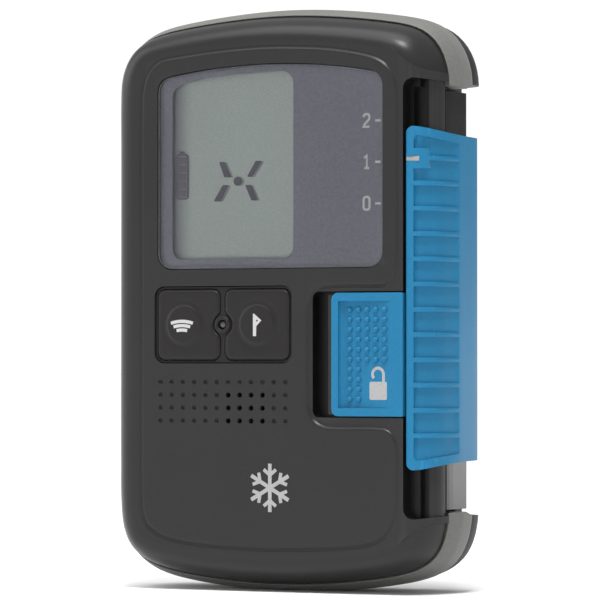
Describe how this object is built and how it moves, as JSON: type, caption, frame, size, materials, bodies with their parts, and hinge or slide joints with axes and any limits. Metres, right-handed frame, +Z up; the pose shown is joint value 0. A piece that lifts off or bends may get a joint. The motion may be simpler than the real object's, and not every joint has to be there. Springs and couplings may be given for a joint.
{
  "type": "avalanche transceiver",
  "caption": "Hand-held avalanche transceiver with sliding function switch, lock key, key pad, display window, bumper frame and hinged battery door.",
  "frame": {"origin": "centre of the footprint at the lowest point of the bumper, with the device upright", "axes": "+Z up along the long side, the face with display and keys looks along -Y, +X to the right seen from the face"},
  "size_m": [0.0768, 0.0274, 0.1187],
  "materials": {
    "fascia_plastic": "satin charcoal, fine grain",
    "case_plastic": "matt charcoal, spark-eroded grain",
    "bumper_elastomer": "warm grey soft-touch elastomer",
    "slider_blue": "satin blue",
    "mark_white": "white inlay",
    "rail_black": "black sliding plastic",
    "key_rubber": "dark silicone rubber",
    "seal_rubber": "black seal rubber",
    "window_clear": "clear hard-coated window",
    "mask_grey": "grey printed mask",
    "lcd_grey": "reflective LCD",
    "diffuser_white": "white diffuser",
    "board_green": "solder resist",
    "chip_black": "moulded epoxy",
    "steel": "brushed",
    "nickel": "nickel plated",
    "brass": "turned",
    "ferrite": "ferrite",
    "copper_wire": "enamelled winding",
    "cell_jacket": "plain printed jacket"
  },
  "bodies": {
    "housing": {"front_shell": "fascia_plastic", "rear_shell": "case_plastic", "bumper_frame": "bumper_elastomer", "slide_rail": "rail_black", "housing_gasket": "seal_rubber", "detent_spring": "steel", "position_sensor": "chip_black", "lock_spring": "steel", "keypad_mat": "key_rubber", "indicator_light_pipe": "diffuser_white", "indicator_led": "diffuser_white", "scan_switch": "nickel", "flag_switch": "nickel", "display_window": "window_clear", "display_mask": "mask_grey", "lcd_glass": "lcd_grey", "lcd_backlight": "diffuser_white", "main_board": "board_green", "processor_chip": "chip_black", "radio_module": "nickel", "speaker": "chip_black", "speaker_membrane": "seal_rubber", "antenna_long_core": "ferrite", "antenna_long_coil": "copper_wire", "antenna_cross_core": "ferrite", "antenna_cross_coil": "copper_wire", "antenna_depth_core": "ferrite", "antenna_depth_coil": "copper_wire", "door_seal": "seal_rubber", "door_hinge_pin": "steel", "door_lock_bush": "brass", "battery_1": "cell_jacket", "battery_2": "cell_jacket", "battery_3": "cell_jacket", "contact_spring_1": "nickel", "contact_spring_2": "nickel", "contact_spring_3": "nickel", "contact_plate_top": "nickel", "contact_plate_bottom": "nickel", "housing_screw_1": "steel", "housing_screw_2": "steel", "housing_screw_3": "steel", "housing_screw_4": "steel", "lanyard_bar": "steel"},
    "function_switch": {"function_slider": "slider_blue", "slider_index_mark": "mark_white", "slider_magnet": "nickel"},
    "lock": {"lock_key": "slider_blue", "lock_carrier": "rail_black"},
    "scan_button": {"scan_key": "key_rubber"},
    "flag_button": {"flag_key": "key_rubber"},
    "door": {"battery_door": "case_plastic"},
    "door_lock": {"door_lock_screw": "steel"}
  },
  "joints": [
    {"name": "function_switch_slide", "type": "slide", "parent": "housing", "child": "function_switch", "axis": [0, 0, 1], "range_m": [-0.0084, 0.0084]},
    {"name": "lock_key_slide", "type": "slide", "parent": "housing", "child": "lock", "axis": [-1, 0, 0], "range_m": [0, 0.0024], "stiffness_N_per_m": 300},
    {"name": "scan_key_press", "type": "slide", "parent": "housing", "child": "scan_button", "axis": [0, 1, 0], "range_m": [0, 0.0008], "stiffness_N_per_m": 600},
    {"name": "flag_key_press", "type": "slide", "parent": "housing", "child": "flag_button", "axis": [0, 1, 0], "range_m": [0, 0.0008], "stiffness_N_per_m": 600},
    {"name": "battery_door_hinge", "type": "hinge", "parent": "housing", "child": "door", "pos_m": [0, 0.01165, 0.0706], "axis": [1, 0, 0], "range_deg": [0, 100]},
    {"name": "door_lock_turn", "type": "hinge", "parent": "door", "child": "door_lock", "pos_m": [0, 0.0137, 0.0137], "axis": [0, 1, 0], "range_deg": [0, 90]}
  ]
}
